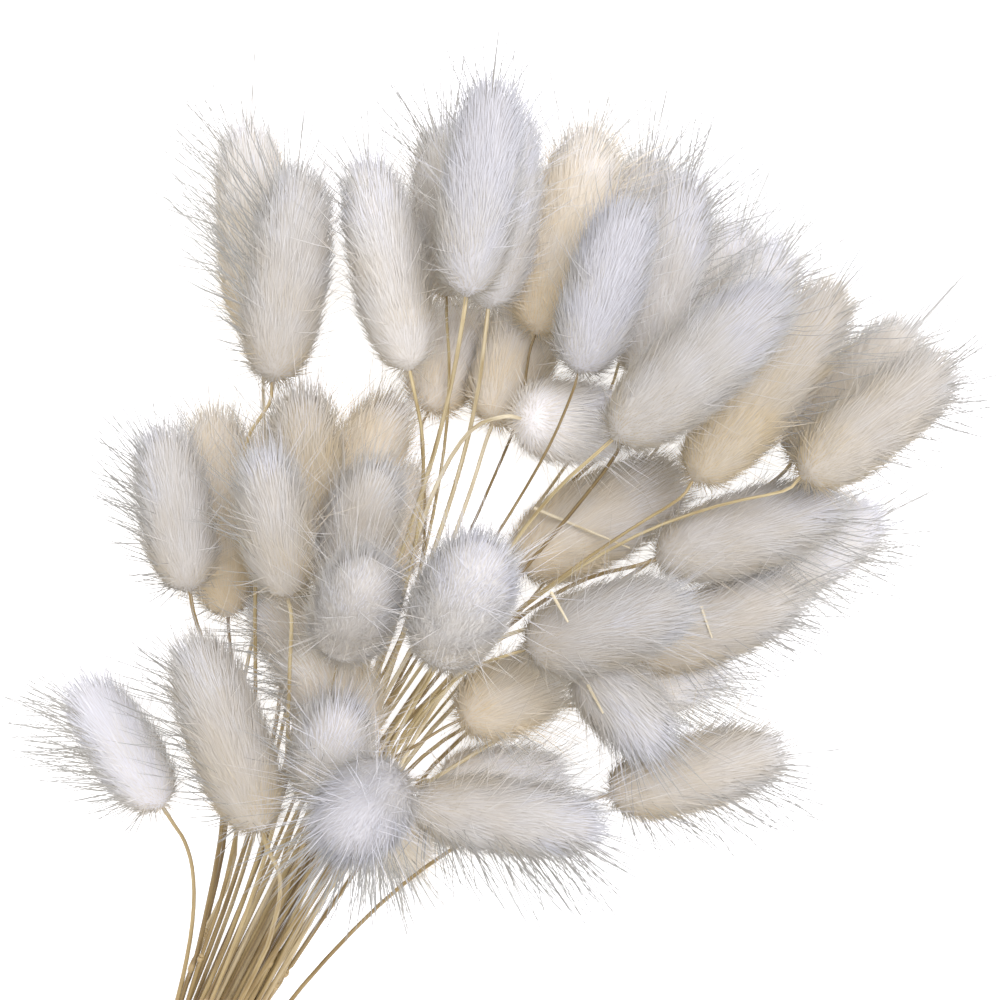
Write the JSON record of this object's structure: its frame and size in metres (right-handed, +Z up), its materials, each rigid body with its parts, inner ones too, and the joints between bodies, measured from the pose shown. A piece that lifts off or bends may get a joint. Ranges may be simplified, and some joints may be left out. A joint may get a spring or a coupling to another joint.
{
  "type": "dried bunny tail grass bunch",
  "caption": "Bunch of dried bunny tail grass lying down: soft oval cream heads with fine awns on thin straw stems, tied with twine.",
  "frame": {"origin": "on the surface the bunch lies on, below the middle of its box", "axes": "+Y along the bunch from the cut stem ends to the heads, +Z up from the surface, +X to the right seen from above"},
  "size_m": [0.1852, 0.3732, 0.1129],
  "materials": {
    "fur": "soft matt dried plant hair, cream white",
    "straw": "dry straw, slight satin",
    "twine": "matt natural jute"
  },
  "bodies": {
    "root": {"head_01": "fur", "head_02": "fur", "head_03": "fur", "head_04": "fur", "head_05": "fur", "head_06": "fur", "head_07": "fur", "head_08": "fur", "head_09": "fur", "head_10": "fur", "head_11": "fur", "head_12": "fur", "head_13": "fur", "head_14": "fur", "head_15": "fur", "head_16": "fur", "head_17": "fur", "head_18": "fur", "head_19": "fur", "head_20": "fur", "head_21": "fur", "head_22": "fur", "head_23": "fur", "head_24": "fur", "head_25": "fur", "head_26": "fur", "head_27": "fur", "head_28": "fur", "head_29": "fur", "head_30": "fur", "head_31": "fur", "head_32": "fur", "head_33": "fur", "head_34": "fur", "head_35": "fur", "head_36": "fur", "head_37": "fur", "head_38": "fur", "head_39": "fur", "head_40": "fur", "head_41": "fur", "head_42": "fur", "head_43": "fur", "head_44": "fur", "head_45": "fur", "head_46": "fur", "head_47": "fur", "stems_01": "straw", "stems_02": "straw", "stems_03": "straw", "stems_04": "straw", "stems_05": "straw", "stems_06": "straw", "stems_07": "straw", "stems_08": "straw", "stems_09": "straw", "stems_10": "straw", "stems_11": "straw", "stems_12": "straw", "twine": "twine"}
  },
  "joints": []
}
